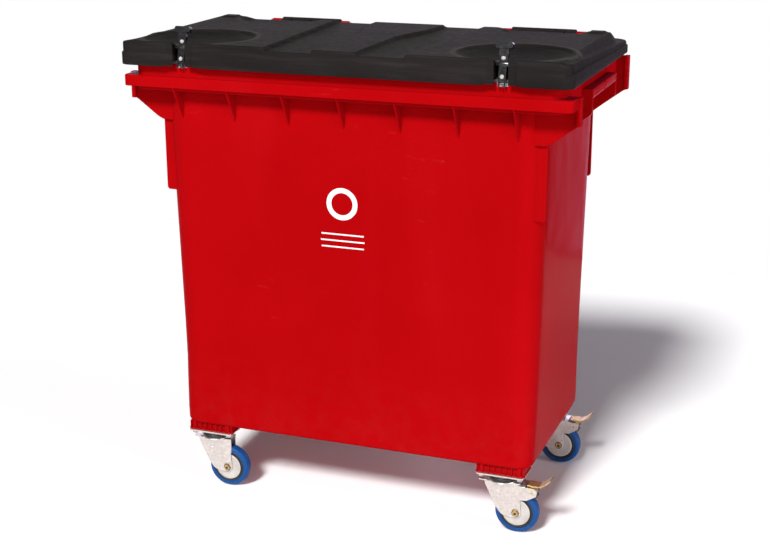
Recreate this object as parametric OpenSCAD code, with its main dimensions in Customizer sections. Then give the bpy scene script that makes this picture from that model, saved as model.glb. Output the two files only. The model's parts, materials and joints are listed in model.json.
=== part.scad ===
// Four-wheeled clinical waste bin with a hinged lid, about 660 litres.
// Millimetres. +Z is up and the front faces -Y. The origin lies on the floor,
// midway between the four castor pivots. At rest every castor trails towards +X.

/* [Tub] */
// Half length of the tub at its base
base_half_x = 529; // [515:1:535]
// Half depth of the tub at its base
base_half_y = 290; // [280:1:294]
// Half length of the tub under its rim
top_half_x = 547; // [540:1:552]
// Half depth of the tub under its rim
top_half_y = 304; // [300:1:308]
// Height of the tub's underside above the floor
base_z = 200; // [198:1:204]
// Height of the shoulder that carries the rim
shoulder_z = 1206; // [1200:1:1208]
// Radius of the tub's upright corners
corner_r = 50; // [40:1:56]
// Wall thickness of the mouldings
wall = 5; // [4:0.5:6]

/* [Rim] */
// Half length of the collar that the lid closes over
collar_half_x = 604; // [600:1:606]
// Distance of the collar's front face from the origin
collar_front = 349; // [347:1:350]
// Distance of the collar's rear face from the origin
collar_rear = 322; // [320:1:323]
// Height of the collar's top edge
collar_top = 1276; // [1274:1:1277]
// Half length of the comb lip below the collar
lip_half_x = 632; // [628:1:634]
// How far the comb lip stands out from the collar
lip_out = 9; // [7:1:11]
// Height of the comb lip's lower edge
lip_z0 = 1210; // [1209:1:1214]
// Height of the comb lip's upper edge
lip_z1 = 1240; // [1238:1:1243]

/* [Front ribs] */
// Number of ribs under the front lip
rib_count = 7; // [3:2:9]
// Distance between neighbouring ribs
rib_pitch = 160; // [110:1:165]
// Height of the foot of each rib
rib_foot_z = 1118; // [1100:1:1140]

/* [Ears and handles] */
// Half length over the corner ears
ear_half_x = 640; // [637:1:643]
// Distance of each ear's outer face from the middle plane
ear_y = 300; // [298:1:301]
// Height of the lower end of the corner tails
tail_z = 906; // [880:1:960]
// Half length over the side handle bars
bar_half_x = 634; // [632:1:638]
// Distance of the handle arms from the middle plane
arm_y = 143; // [130:1:155]

/* [Lid] */
// Half length of the lid
lid_half_x = 633; // [631:1:635]
// Distance of the lid's front face from the origin
lid_front = 374; // [372:1:376]
// Distance of the lid's rear edge from the origin
lid_rear = 345; // [344:1:346]
// Height of the lid's lower edge
lid_z0 = 1270; // [1269:1:1272]
// Height of the lid's flat top
lid_z1 = 1330; // [1328:1:1332]
// Height of the panels moulded on the lid
panel_h = 7; // [5:1:8]

/* [Hinge] */
// Distance of the hinge axis from the origin
hinge_y = 356; // [355:1:357]
// Height of the hinge axis
hinge_z = 1302; // [1301:1:1303]
// Radius of the lid's hinge knuckles
knuckle_r = 18; // [17:0.5:18]
// Radius of the hinge pins
hinge_pin_r = 7; // [6:0.5:8]

/* [Latches] */
// Distance of each latch from the middle plane
latch_x = 449; // [440:1:455]
// Width of the slot that each latch lies in
slot_w = 38; // [36:1:42]
// Angle by which each closed latch leans back
latch_lean = 14; // [12:0.5:15]

/* [Castors] */
// Half distance between castor pivots along the tub
pivot_x = 444; // [430:1:446]
// Half distance between castor pivots across the tub
pivot_y = 247; // [240:1:248]
// Radius of the wheels
wheel_r = 62.5; // [60:0.5:64]
// How far each wheel axle trails behind its pivot
trail = 43; // [40:1:46]
// Width of the tyres
tyre_w = 32; // [28:1:33]

/* [Hidden] */

// Colours of the real mouldings and metals
red = "#c80a14";
charcoal = "#3c3a39";
gloss_black = "#141414";
zinc = "#d8d4d0";
steel = "#b8bcc0";
yellow_zinc = "#b08a3c";
tyre_blue = "#1f5fae";
core_black = "#1c1c1e";
seal_grey = "#4a4a4c";
white_plastic = "#eceae6";

fit = 0.05;          // radial clearance of running fits
base_round = 12;     // rounding of the tub's lower edge
web = 4;             // thickness of the ribs
plate_t = 7;         // thickness of ears and handle arms
rear_ear_top = 1263;
gasket_top = 1284;    // height at which the gasket meets the lid
slot_depth = 58;
slot_floor = 30;      // depth of the part of the slot that is open underneath
slice = 0.02;        // thickness of the sections that a tapered wall is drawn between

// Castor sizes, measured from the pivot
plate_top = 178;
plate_x = 136;
plate_y = 88;
plate_th = 4;
hole_dx = 54;
hole_dy = 30;
bolt_r = 5;
race_r = 36;
race_z = 166;
crown_z = 152;
leg_in = 19.5;
leg_t = 3;
leg_out = leg_in + leg_t;
axle_r = 5;
guard_r = 40;
rim_r = 48;
hub_r = 18;
bearing_r = 12;
pedal_pivot = [88, 131];

// Latch sizes
latch_y = -359.5;
keeper_z = 1271;
keeper_r = 2.5;
latch_pin_r = 3;
strap_w = 20;
strap_foot = -5;      // lower end of the strap, measured from the keeper
fork_gap = 11;
fork_top = 8;
pivot_up = 53;        // from the keeper to the pivot, along the strap
tee_up = 103;
tee_half = 25;
latch_pivot = [latch_y + pivot_up * sin(latch_lean), keeper_z + pivot_up * cos(latch_lean)];

// Hinge stations along X: inner lug, knuckle, outer lug
lug_in = [246, 272];
knuckle_x = [274, 468];
lug_out = [470, 502];
lug_gap = 1;
notch_y = 326;
lug_r = 13;

function half_x(z) = base_half_x + (top_half_x - base_half_x) * (z - base_z) / (shoulder_z - base_z);
function half_y(z) = base_half_y + (top_half_y - base_half_y) * (z - base_z) / (shoulder_z - base_z);

// ---- Shared shapes -------------------------------------------------------

// Rounded rectangle from x = -hx to hx and y = y0 to y1
module plan(hx, y0, y1, r) {
    translate([-hx + r, y0])
        square([2 * (hx - r), y1 - y0]);
    translate([-hx, y0 + r])
        square([2 * hx, y1 - y0 - 2 * r]);
    for (sx = [-1, 1]) {
        translate([sx * (hx - r), y0 + r])
            circle(r = r, $fn = 64);
        translate([sx * (hx - r), y1 - r])
            circle(r = r, $fn = 64);
    }
}

module prism(z0, z1) {
    translate([0, 0, z0])
        linear_extrude(z1 - z0)
            children();
}

// Extrudes an outline drawn in (y, z) along X, from x0 to x1
module along_x(x0, x1) {
    translate([x0, 0, 0])
        rotate([90, 0, 90])
            linear_extrude(x1 - x0)
                children();
}

// Extrudes an outline drawn in (x, z) along Y, from y0 to y1
module along_y(y0, y1) {
    translate([0, y1, 0])
        rotate([90, 0, 0])
            linear_extrude(y1 - y0)
                children();
}

// Turns a profile drawn in (radius, axial) about the Y axis
module turned_y() {
    rotate([-90, 0, 0])
        rotate_extrude($fn = 96)
            children();
}

module rod_x(r, x0, x1, fn = 48) {
    translate([x0, 0, 0])
        rotate([0, 90, 0])
            cylinder(r = r, h = x1 - x0, $fn = fn);
}

module rod_y(r, y0, y1, fn = 48) {
    translate([0, y0, 0])
        rotate([-90, 0, 0])
            cylinder(r = r, h = y1 - y0, $fn = fn);
}

module both_sides() {
    children();
    mirror([1, 0, 0])
        children();
}

// ---- Tub -----------------------------------------------------------------

module tub_section(z, inset) {
    translate([0, 0, z])
        linear_extrude(slice)
            plan(half_x(z) - inset, -half_y(z) + inset, half_y(z) - inset, corner_r - inset, $fn = 32);
}

module tub_outer() {
    hull() {
        tub_section(base_z, base_round);
        tub_section(base_z + base_round * 0.3, base_round * 0.3);
        tub_section(base_z + base_round, 0);
        tub_section(shoulder_z - slice, 0);
    }
}

module tub_inner() {
    hull() {
        tub_section(base_z + wall, base_round + wall);
        tub_section(base_z + wall + base_round, wall);
        tub_section(shoulder_z + 1, wall);
    }
    prism(shoulder_z, collar_top + 1)
        plan(collar_half_x - wall, wall - collar_front, collar_rear - wall, 35);
}

module collar() {
    prism(shoulder_z - wall, collar_top)
        plan(collar_half_x, -collar_front, collar_rear, 40);
}

// Channel-shaped lip, open underneath, across the front and the rear
module comb_lip() {
    intersection() {
        difference() {
            prism(lip_z0, lip_z1)
                plan(lip_half_x, -collar_front - lip_out, collar_rear + lip_out, 18);
            prism(lip_z0 - 1, lip_z1 - wall)
                plan(lip_half_x - wall, wall - collar_front - lip_out, collar_rear + lip_out - wall, 13);
        }
        union() {
            translate([-700, -400, lip_z0])
                cube([1400, 400 - ear_y, lip_z1 - lip_z0]);
            translate([-700, ear_y - plate_t, lip_z0])
                cube([1400, 100, lip_z1 - lip_z0]);
        }
    }
}

module front_ribs() {
    for (i = [0 : rib_count - 1]) {
        x = (i - (rib_count - 1) / 2) * rib_pitch;
        along_x(x - web / 2, x + web / 2)
            polygon([
                [-collar_front - lip_out + 1, lip_z1 - 1],
                [-collar_front - lip_out + 1, lip_z0],
                [-half_y(rib_foot_z) - 1, rib_foot_z],
                [-half_y(rib_foot_z) + 3, rib_foot_z],
                [-half_y(rib_foot_z) + 3, lip_z1 - 1],
            ]);
    }
}

// One right-hand ear with its end post and the tail flange below it
module ear(top, tail_x) {
    along_y(ear_y - plate_t, ear_y)
        polygon([
            [505, top], [ear_half_x, top], [ear_half_x, 1167], [627, 1167],
            [563, 1115], [546, 1108], [505, 1108],
        ]);
    translate([627, ear_y - 16, 1166])
        cube([ear_half_x - 627, 22, top - 1166]);
    along_y(281, 288)
        polygon([[525, 1116], [tail_x, 1116], [tail_x, tail_z + 3], [tail_x - 3, tail_z], [525, tail_z]]);
}

module ears() {
    both_sides() {
        ear(rear_ear_top, 543);
        mirror([0, 1, 0])
            ear(lip_z1, 551);
    }
}

// Short gussets between the ear and the handle, under the collar
module side_gussets() {
    for (y = [-255, -225, -195, 195, 225, 255])
        along_y(y - web / 2, y + web / 2)
            polygon([[542, shoulder_z], [collar_half_x, shoulder_z], [collar_half_x, 1192], [543, 1145]]);
}

module side_handle() {
    for (y = [-arm_y, arm_y])
        along_y(y - plate_t / 2, y + plate_t / 2)
            polygon([
                [541, 1236], [bar_half_x, 1236], [bar_half_x, 1173], [563, 1118], [541, 1110],
            ]);
    along_y(-arm_y, arm_y)
        translate([bar_half_x - 9, 0])
            plan(9, 1212, 1236, 5);
    translate([bar_half_x - 4, -3, 1211])
        cube([6, 6, 26]);
}

module hinge_lug(x0, x1) {
    difference() {
        union() {
            along_x(x0, x1)
                polygon([
                    [collar_rear - 3, 1215], [collar_rear - 3, 1262],
                    [hinge_y - 10, hinge_z - 8], [hinge_y, hinge_z], [hinge_y + 10, hinge_z - 8],
                ]);
            translate([0, hinge_y, hinge_z])
                rod_x(lug_r, x0, x1);
        }
        translate([0, hinge_y, hinge_z])
            rod_x(hinge_pin_r + fit, x0 - 1, x1 + 1);
    }
}

module castor_pad(x, y) {
    translate([x - 70, y - 36, plate_top])
        cube([140, 72, base_z - plate_top + 3]);
}

module pad_bores(x, y) {
    for (dx = [-hole_dx, hole_dx])
        for (dy = [-hole_dy, hole_dy])
            translate([x + dx, y + dy, plate_top - 1])
                cylinder(r = bolt_r + fit, h = 20, $fn = 32);
}

module tub() {
    color(red)
    difference() {
        union() {
            difference() {
                union() {
                    tub_outer();
                    collar();
                    comb_lip();
                    front_ribs();
                    ears();
                    both_sides()
                        side_handle();
                    both_sides()
                        side_gussets();
                }
                tub_inner();
            }
            both_sides() {
                hinge_lug(lug_in[0], lug_in[1]);
                hinge_lug(lug_out[0], lug_out[1]);
            }
            for (sx = [-1, 1])
                for (sy = [-1, 1])
                    castor_pad(sx * pivot_x, sy * pivot_y);
        }
        for (sx = [-1, 1])
            for (sy = [-1, 1])
                pad_bores(sx * pivot_x, sy * pivot_y);
        translate([0, 0, base_z - 1])
            cylinder(r = 24, h = wall + 2, $fn = 64);
    }
}

// Screwed plug in the middle of the floor, with a wing to turn it
module drain_plug() {
    color(core_black) {
        translate([0, 0, base_z - 8])
            cylinder(r = 34, h = 6, $fn = 64);
        translate([0, 0, base_z - 3])
            cylinder(r = 23.7, h = wall + 8, $fn = 64);
        translate([-22, -3, base_z - 20])
            cube([44, 6, 13]);
    }
}

module drain_seal() {
    color(seal_grey)
    translate([0, 0, base_z - 2])
        difference() {
            cylinder(r = 31, h = 2, $fn = 64);
            translate([0, 0, -1])
                cylinder(r = 24, h = 4, $fn = 64);
        }
}

// ---- Lid -----------------------------------------------------------------

// Side profile of the lid in (y, z), shrunk by t on every outside face
module lid_profile(t, z0) {
    polygon([
        [-lid_front + t, z0], [-lid_front + t, lid_z1 - 7], [-lid_front + 6 + t, lid_z1 - t],
        [200, lid_z1 - t], [216, lid_z1 - 3 - t], [lid_rear - 7 - t, 1304 - t],
        [lid_rear - t, 1299 - t], [lid_rear - t, z0],
    ]);
}

module lid_body(t, z0) {
    intersection() {
        along_x(-lid_half_x, lid_half_x)
            lid_profile(t, z0);
        prism(z0, lid_z1 + 1) {
            plan(lid_half_x - t, -lid_front + t, 100, 30 - t);
            plan(lid_half_x - t, -200, lid_rear - t, 60 - t);
        }
    }
}

// Raised fields on the top: a centre band that widens to the rear, and two end fields
module lid_panels() {
    prism(lid_z1 - 1, lid_z1 + panel_h) {
        polygon([[-60, -366], [60, -366], [60, -20], [104, 60], [104, 196], [-104, 196], [-104, 60], [-60, -20]]);
        for (side = [-1, 1])
            scale([side, 1])
                polygon([[198, -366], [604, -366], [604, 160], [580, 192], [228, 192]]);
    }
}

module lid_knuckle() {
    translate([0, hinge_y, hinge_z])
        rod_x(knuckle_r, knuckle_x[0], knuckle_x[1]);
    translate([knuckle_x[0], lid_rear - 12, hinge_z - 15])
        cube([knuckle_x[1] - knuckle_x[0], hinge_y - lid_rear + 12, 25]);
}

// Cheeks, back and floor of the slot that each latch lies in
module latch_pocket() {
    translate([latch_x - slot_w / 2 - 4, -lid_front + 2, gasket_top])
        cube([slot_w + 8, slot_depth + 2, lid_z1 - gasket_top - 2]);
}

module latch_slot() {
    translate([latch_x - slot_w / 2, -lid_front - 2, lid_z0 - 2])
        cube([slot_w, slot_floor + 2, lid_z1 + panel_h - lid_z0 + 10]);
    translate([latch_x - slot_w / 2, -lid_front, gasket_top + 4])
        cube([slot_w, slot_depth, lid_z1 + panel_h - gasket_top]);
}

module lug_notch(x0, x1) {
    translate([x0 - lug_gap, notch_y, lid_z0 - 1])
        cube([x1 - x0 + 2 * lug_gap, 60, 80]);
}

module gasket_carrier() {
    intersection() {
        difference() {
            prism(gasket_top, lid_z1)
                plan(collar_half_x, -collar_front, collar_rear, 40);
            prism(gasket_top - 1, lid_z1 + 1)
                plan(collar_half_x - 4, -collar_front + 4, collar_rear - 5, 36);
        }
        lid_body(1, lid_z0);
    }
}

module lid() {
    color(charcoal)
    difference() {
        union() {
            difference() {
                lid_body(0, lid_z0);
                lid_body(4.5, lid_z0 - 1);
            }
            lid_panels();
            gasket_carrier();
            both_sides() {
                lid_knuckle();
                latch_pocket();
            }
        }
        both_sides() {
            latch_slot();
            lug_notch(lug_in[0], lug_in[1]);
            lug_notch(lug_out[0], lug_out[1]);
            translate([latch_x, latch_pivot[0], latch_pivot[1]])
                rod_x(latch_pin_r + fit, -slot_w / 2 - 5, slot_w / 2 + 5);
            translate([0, hinge_y, hinge_z])
                rod_x(hinge_pin_r + fit, knuckle_x[0] - 1, knuckle_x[1] + 1);
        }
    }
}

module lid_gasket() {
    color(seal_grey)
    difference() {
        prism(collar_top + 0.3, gasket_top)
            plan(collar_half_x - 1, 1 - collar_front, collar_rear - 1, 38);
        prism(collar_top, gasket_top + 1)
            plan(collar_half_x - 9, -collar_front + 9, collar_rear - 10, 32);
    }
}

module hinge_pins() {
    color(steel)
    both_sides()
        translate([0, hinge_y, hinge_z]) {
            rod_x(hinge_pin_r, lug_in[0] - 2, lug_out[1] + 2);
            rod_x(hinge_pin_r + 4, lug_out[1] + 0.5, lug_out[1] + 5);
            rod_x(hinge_pin_r + 3, lug_in[0] - 5, lug_in[0] - 0.5);
        }
}

// ---- Latches -------------------------------------------------------------

// Leans its children, drawn upright above the keeper, back to the closed position
module leaning() {
    translate([0, latch_y, keeper_z])
        rotate([-latch_lean, 0, 0])
            children();
}

// A draw latch that swings on the lid; its lower fork straddles the keeper stud
module latch() {
    color(gloss_black)
    leaning()
        difference() {
            union() {
                translate([-strap_w / 2, -4.5, strap_foot])
                    cube([strap_w, 9, tee_up - strap_foot]);
                translate([0, 0, pivot_up])
                    rod_x(7, -slot_w / 2 + 0.6, slot_w / 2 - 0.6);
                translate([0, 0, tee_up])
                    rod_x(9.5, -tee_half, tee_half);
                translate([-strap_w / 2 - 3, -6.5, pivot_up + 23])
                    cube([strap_w + 6, 13, 14]);
            }
            translate([0, 0, pivot_up])
                rod_x(latch_pin_r + fit, -30, 30);
            translate([-fork_gap / 2, -12, strap_foot - 1])
                cube([fork_gap, 24, fork_top - strap_foot + 1]);
        }
}

module latch_pin() {
    color(steel)
    translate([0, latch_pivot[0], latch_pivot[1]])
        rod_x(latch_pin_r, -slot_w / 2 - 3.5, slot_w / 2 + 3.5);
}

// Domed rivets that bind the strap, on its front face
module latch_rivets() {
    color(white_plastic)
    leaning()
        for (up = [21, 68])
            translate([0, -4.5, up])
                rotate([90, 0, 0])
                    intersection() {
                        translate([0, 0, -4.5])
                            sphere(r = 7.2, $fn = 48);
                        cylinder(r = 6, h = 5, $fn = 48);
                    }
}

module latch_keepers() {
    color(steel)
    both_sides()
        translate([latch_x, 0, 0]) {
            translate([-14, -collar_front - 2.5, keeper_z - 4])
                cube([28, 2.5, 9]);
            translate([0, 0, keeper_z])
                rod_y(keeper_r, -368, -collar_front - 2);
        }
}

// ---- Castors, each drawn about its own pivot ------------------------------

module castor_plate() {
    color(zinc)
    difference() {
        union() {
            translate([-plate_x / 2, -plate_y / 2, plate_top - plate_th])
                cube([plate_x, plate_y, plate_th]);
            translate([0, 0, race_z])
                cylinder(r = race_r, h = plate_top - plate_th - race_z, $fn = 96);
            translate([0, 0, crown_z - 6])
                cylinder(r = 6, h = 22, $fn = 48);
            translate([0, 0, crown_z - 12])
                cylinder(r = 9.5, h = 6, $fn = 48);
        }
        for (dx = [-hole_dx, hole_dx])
            for (dy = [-hole_dy, hole_dy])
                translate([dx, dy, plate_top - plate_th - 1])
                    cylinder(r = bolt_r + fit, h = plate_th + 2, $fn = 32);
    }
}

module plate_bolts() {
    color(steel)
    for (dx = [-hole_dx, hole_dx])
        for (dy = [-hole_dy, hole_dy])
            translate([dx, dy, 0]) {
                translate([0, 0, plate_top - plate_th - 1.5])
                    cylinder(r = 10, h = 1.5, $fn = 48);
                translate([0, 0, plate_top - plate_th - 8.5])
                    cylinder(r = 9, h = 7.1, $fn = 6);
                translate([0, 0, plate_top - plate_th - 2])
                    cylinder(r = bolt_r, h = 22, $fn = 32);
            }
}

// Dark seal ring that closes the ball race between the plate and the fork
module swivel_race() {
    color(core_black)
    translate([0, 0, crown_z + 8])
        rotate_extrude($fn = 96)
            polygon([[22, 0], [31, 0], [34, 3], [34, 6], [22, 6]]);
}

module leg_outline() {
    polygon([
        [-48, crown_z], [-46, 138], [-14, 76], [6, 52], [30, 49],
        [43, 47.5], [58, 62.5], [54, 100], [54, crown_z],
    ]);
    translate([trail, wheel_r])
        circle(r = 15, $fn = 48);
}

module fork() {
    color(zinc)
    difference() {
        union() {
            for (y = [-leg_out, leg_in])
                along_y(y, y + leg_t)
                    leg_outline();
            translate([-48, -leg_out, crown_z - 3])
                cube([102, 2 * leg_out, 3]);
            translate([0, 0, crown_z - 3])
                cylinder(r = 40, h = 6, $fn = 96);
            translate([0, 0, crown_z])
                cylinder(r = 33, h = 7.6, $fn = 96);
            translate([-70, -7, 141])
                cube([24, 14, 4]);
            translate([-50, -7, 141])
                cube([4, 14, 9]);
        }
        translate([0, 0, crown_z - 20])
            cylinder(r = 6 + fit, h = 40, $fn = 48);
        translate([trail, 0, wheel_r])
            rod_y(axle_r + fit, -30, 30);
        translate([trail - 18, 0, wheel_r + 9])
            rod_y(3, -30, 30);
    }
}

module axle() {
    color(yellow_zinc)
    translate([trail, 0, wheel_r]) {
        rod_y(axle_r, -leg_out - 2, leg_out + 10);
        rod_y(8.7, -leg_out - 6.5, -leg_out - 0.02, 6);
        rod_y(9.2, -leg_out - 1.5, -leg_out - 0.02);
        rod_y(9.2, leg_out + 0.02, leg_out + 1.5);
        rod_y(8.7, leg_out + 1, leg_out + 8.5, 6);
    }
}

module rim() {
    color(core_black)
    translate([trail, 0, wheel_r])
        turned_y()
            polygon([
                [bearing_r, -16.4], [hub_r, -16.4], [hub_r, -6], [rim_r - 6, -6], [rim_r - 6, -15],
                [rim_r, -15], [rim_r, 15], [rim_r - 6, 15], [rim_r - 6, 6], [hub_r, 6],
                [hub_r, 16.4], [bearing_r, 16.4],
            ]);
}

module tyre() {
    edge = 6;
    half = tyre_w / 2;
    color(tyre_blue)
    translate([trail, 0, wheel_r])
        turned_y()
            union() {
                translate([rim_r, -half])
                    square([wheel_r - edge - rim_r, tyre_w]);
                translate([rim_r, -half + edge])
                    square([wheel_r - rim_r, tyre_w - 2 * edge]);
                for (y = [-half + edge, half - edge])
                    translate([wheel_r - edge, y])
                        circle(r = edge, $fn = 48);
            }
}

module guards() {
    color(white_plastic)
    translate([trail, 0, wheel_r])
        for (side = [-1, 1])
            turned_y()
                scale([1, side])
                    polygon([
                        [10, 16.5], [34, 16.5], [rim_r - 6.2, 14.2], [guard_r + 1.5, 15.6],
                        [34, 18.3], [10, 18.3],
                    ]);
}

module bearings() {
    color(steel)
    translate([trail, 0, wheel_r])
        for (y = [-16.3, 8.3])
            difference() {
                rod_y(bearing_r - 0.02, y, y + 8);
                rod_y(axle_r + fit, y - 1, y + 9);
            }
}

module brake_bracket() {
    color(zinc) {
        for (y = [-leg_out - 2.5, leg_out])
            along_y(y, y + 2.5)
                difference() {
                    polygon([[50, 147], [98, 142], [103, 137], [101, 122], [74, 106], [50, 104]]);
                    translate(pedal_pivot)
                        circle(r = 3 + fit, $fn = 32);
                }
        translate([55, -leg_out - 1, 143.5])
            cube([14, 2 * leg_out + 2, 2.5]);
    }
}

// Foot lever with an upturned tip; its pivot rod turns in the bracket
module brake_pedal() {
    color(yellow_zinc) {
        along_y(-17, 17)
            polygon([
                [74, 150], [108, 150], [122, 158], [137, 172], [139.5, 170],
                [125, 154.5], [110, 146.5], [96, 146.5], [92, 136], [84, 136], [82, 146.5], [74, 146.5],
            ]);
        along_y(-10, 10)
            polygon([[89, 131], [97, 131], [97, 123.5], [89, 122.5]]);
        translate([pedal_pivot[0], 0, pedal_pivot[1]]) {
            rod_y(8, -17, 17);
            rod_y(3, -leg_out - 4, leg_out + 4);
        }
    }
}

module brake_shoe() {
    color(core_black)
    along_y(-13, 13)
        polygon([[89, 122.5], [97, 123.5], [101, 114], [92, 110], [88.5, 112]]);
}

module castor_at(name) {
    corner = [name[0] == "left" ? -1 : 1, name[1] == "front" ? -1 : 1];
    translate([corner[0] * pivot_x, corner[1] * pivot_y, 0])
        children();
}

FL = ["left", "front"];
FR = ["right", "front"];
RL = ["left", "rear"];
RR = ["right", "rear"];

// ---- Drawing -------------------------------------------------------------

tub();
drain_plug();
drain_seal();
lid();
lid_gasket();
hinge_pins();
translate([-latch_x, 0, 0]) latch();  // latch_left
translate([latch_x, 0, 0]) latch();  // latch_right
translate([-latch_x, 0, 0]) latch_pin();  // latch_pin_left
translate([latch_x, 0, 0]) latch_pin();  // latch_pin_right
translate([-latch_x, 0, 0]) latch_rivets();  // latch_rivets_left
translate([latch_x, 0, 0]) latch_rivets();  // latch_rivets_right
latch_keepers();
castor_at(FL) castor_plate();  // front_left_plate
castor_at(FR) castor_plate();  // front_right_plate
castor_at(RL) castor_plate();  // rear_left_plate
castor_at(RR) castor_plate();  // rear_right_plate
castor_at(FL) plate_bolts();  // front_left_bolts
castor_at(FR) plate_bolts();  // front_right_bolts
castor_at(RL) plate_bolts();  // rear_left_bolts
castor_at(RR) plate_bolts();  // rear_right_bolts
castor_at(FL) swivel_race();  // front_left_race
castor_at(FR) swivel_race();  // front_right_race
castor_at(RL) swivel_race();  // rear_left_race
castor_at(RR) swivel_race();  // rear_right_race
castor_at(FL) fork();  // front_left_fork
castor_at(FR) fork();  // front_right_fork
castor_at(RL) fork();  // rear_left_fork
castor_at(RR) fork();  // rear_right_fork
castor_at(FL) axle();  // front_left_axle
castor_at(FR) axle();  // front_right_axle
castor_at(RL) axle();  // rear_left_axle
castor_at(RR) axle();  // rear_right_axle
castor_at(FL) rim();  // front_left_rim
castor_at(FR) rim();  // front_right_rim
castor_at(RL) rim();  // rear_left_rim
castor_at(RR) rim();  // rear_right_rim
castor_at(FL) tyre();  // front_left_tyre
castor_at(FR) tyre();  // front_right_tyre
castor_at(RL) tyre();  // rear_left_tyre
castor_at(RR) tyre();  // rear_right_tyre
castor_at(FL) guards();  // front_left_guards
castor_at(FR) guards();  // front_right_guards
castor_at(RL) guards();  // rear_left_guards
castor_at(RR) guards();  // rear_right_guards
castor_at(FL) bearings();  // front_left_bearings
castor_at(FR) bearings();  // front_right_bearings
castor_at(RL) bearings();  // rear_left_bearings
castor_at(RR) bearings();  // rear_right_bearings
castor_at(FR) brake_bracket();  // front_right_brake_bracket
castor_at(RR) brake_bracket();  // rear_right_brake_bracket
castor_at(FR) brake_pedal();  // front_right_brake_pedal
castor_at(RR) brake_pedal();  // rear_right_brake_pedal
castor_at(FR) brake_shoe();  // front_right_brake_shoe
castor_at(RR) brake_shoe();  // rear_right_brake_shoe
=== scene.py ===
import json
import math

import bmesh
import bpy
from mathutils import Matrix, Vector


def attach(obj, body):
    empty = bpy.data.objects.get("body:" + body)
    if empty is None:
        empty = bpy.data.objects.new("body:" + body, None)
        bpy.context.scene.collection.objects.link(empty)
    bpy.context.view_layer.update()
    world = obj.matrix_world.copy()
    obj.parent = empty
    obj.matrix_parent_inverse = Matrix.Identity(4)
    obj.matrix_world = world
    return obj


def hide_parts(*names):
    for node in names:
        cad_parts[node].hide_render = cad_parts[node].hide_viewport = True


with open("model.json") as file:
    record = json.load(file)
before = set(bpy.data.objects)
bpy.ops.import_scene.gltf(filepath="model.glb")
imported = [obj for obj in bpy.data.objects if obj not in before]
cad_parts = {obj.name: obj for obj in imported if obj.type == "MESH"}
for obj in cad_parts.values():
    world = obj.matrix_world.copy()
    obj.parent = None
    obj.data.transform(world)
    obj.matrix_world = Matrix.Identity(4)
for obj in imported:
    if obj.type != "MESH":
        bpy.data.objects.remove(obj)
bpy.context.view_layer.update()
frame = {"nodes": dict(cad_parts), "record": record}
scene = bpy.context.scene
nodes = frame["nodes"]
MM = 0.001

# ---- Materials -------------------------------------------------------------


class Nodes:
    """Short calls for building one material's node tree."""

    def __init__(self, name):
        self.mat = bpy.data.materials.new(name)
        self.mat.use_nodes = True
        self.tree = self.mat.node_tree
        self.shader = self.tree.nodes["Principled BSDF"]
        self.coord = self.tree.nodes.new("ShaderNodeTexCoord").outputs["Object"]

    def put(self, socket, value):
        if hasattr(value, "is_linked"):
            self.tree.links.new(value, socket)
        else:
            socket.default_value = value

    def scaled(self, scale):
        n = self.tree.nodes.new("ShaderNodeMapping")
        n.inputs["Scale"].default_value = scale
        self.put(n.inputs["Vector"], self.coord)
        return n.outputs["Vector"]

    def noise(self, scale, detail=4.0, rough=0.55, vector=None, distortion=0.0):
        n = self.tree.nodes.new("ShaderNodeTexNoise")
        self.put(n.inputs["Vector"], vector or self.coord)
        n.inputs["Scale"].default_value = scale
        n.inputs["Detail"].default_value = detail
        n.inputs["Roughness"].default_value = rough
        n.inputs["Distortion"].default_value = distortion
        return n.outputs["Fac"]

    def cells(self, scale):
        n = self.tree.nodes.new("ShaderNodeTexVoronoi")
        self.put(n.inputs["Vector"], self.coord)
        n.inputs["Scale"].default_value = scale
        return n.outputs["Distance"]

    def ramp(self, fac, stops):
        n = self.tree.nodes.new("ShaderNodeValToRGB")
        self.put(n.inputs["Fac"], fac)
        els = n.color_ramp.elements
        while len(els) < len(stops):
            els.new(0.5)
        for e, (pos, col) in zip(els, stops):
            e.position = pos
            e.color = (col, col, col, 1) if isinstance(col, float) else (*col, 1)
        return n.outputs["Color"]

    def math(self, op, a, b=0.0, clamp=False):
        n = self.tree.nodes.new("ShaderNodeMath")
        n.operation = op
        n.use_clamp = clamp
        self.put(n.inputs[0], a)
        self.put(n.inputs[1], b)
        return n.outputs[0]

    def mix(self, fac, a, b):
        n = self.tree.nodes.new("ShaderNodeMix")
        n.data_type = "RGBA"
        self.put(n.inputs[0], fac)
        self.put(n.inputs[6], a if hasattr(a, "is_linked") else (*a, 1))
        self.put(n.inputs[7], b if hasattr(b, "is_linked") else (*b, 1))
        return n.outputs[2]

    def axis(self, index):
        n = self.tree.nodes.new("ShaderNodeSeparateXYZ")
        self.put(n.inputs[0], self.coord)
        return n.outputs[index]

    def bump(self, layers):
        normal = None
        for height, strength, distance in layers:
            n = self.tree.nodes.new("ShaderNodeBump")
            n.inputs["Strength"].default_value = strength
            n.inputs["Distance"].default_value = distance
            self.put(n.inputs["Height"], height)
            if normal:
                self.put(n.inputs["Normal"], normal)
            normal = n.outputs["Normal"]
        self.put(self.shader.inputs["Normal"], normal)

    def surface(self, **values):
        for key, value in values.items():
            self.put(self.shader.inputs[key.replace("_", " ")], value)


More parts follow.
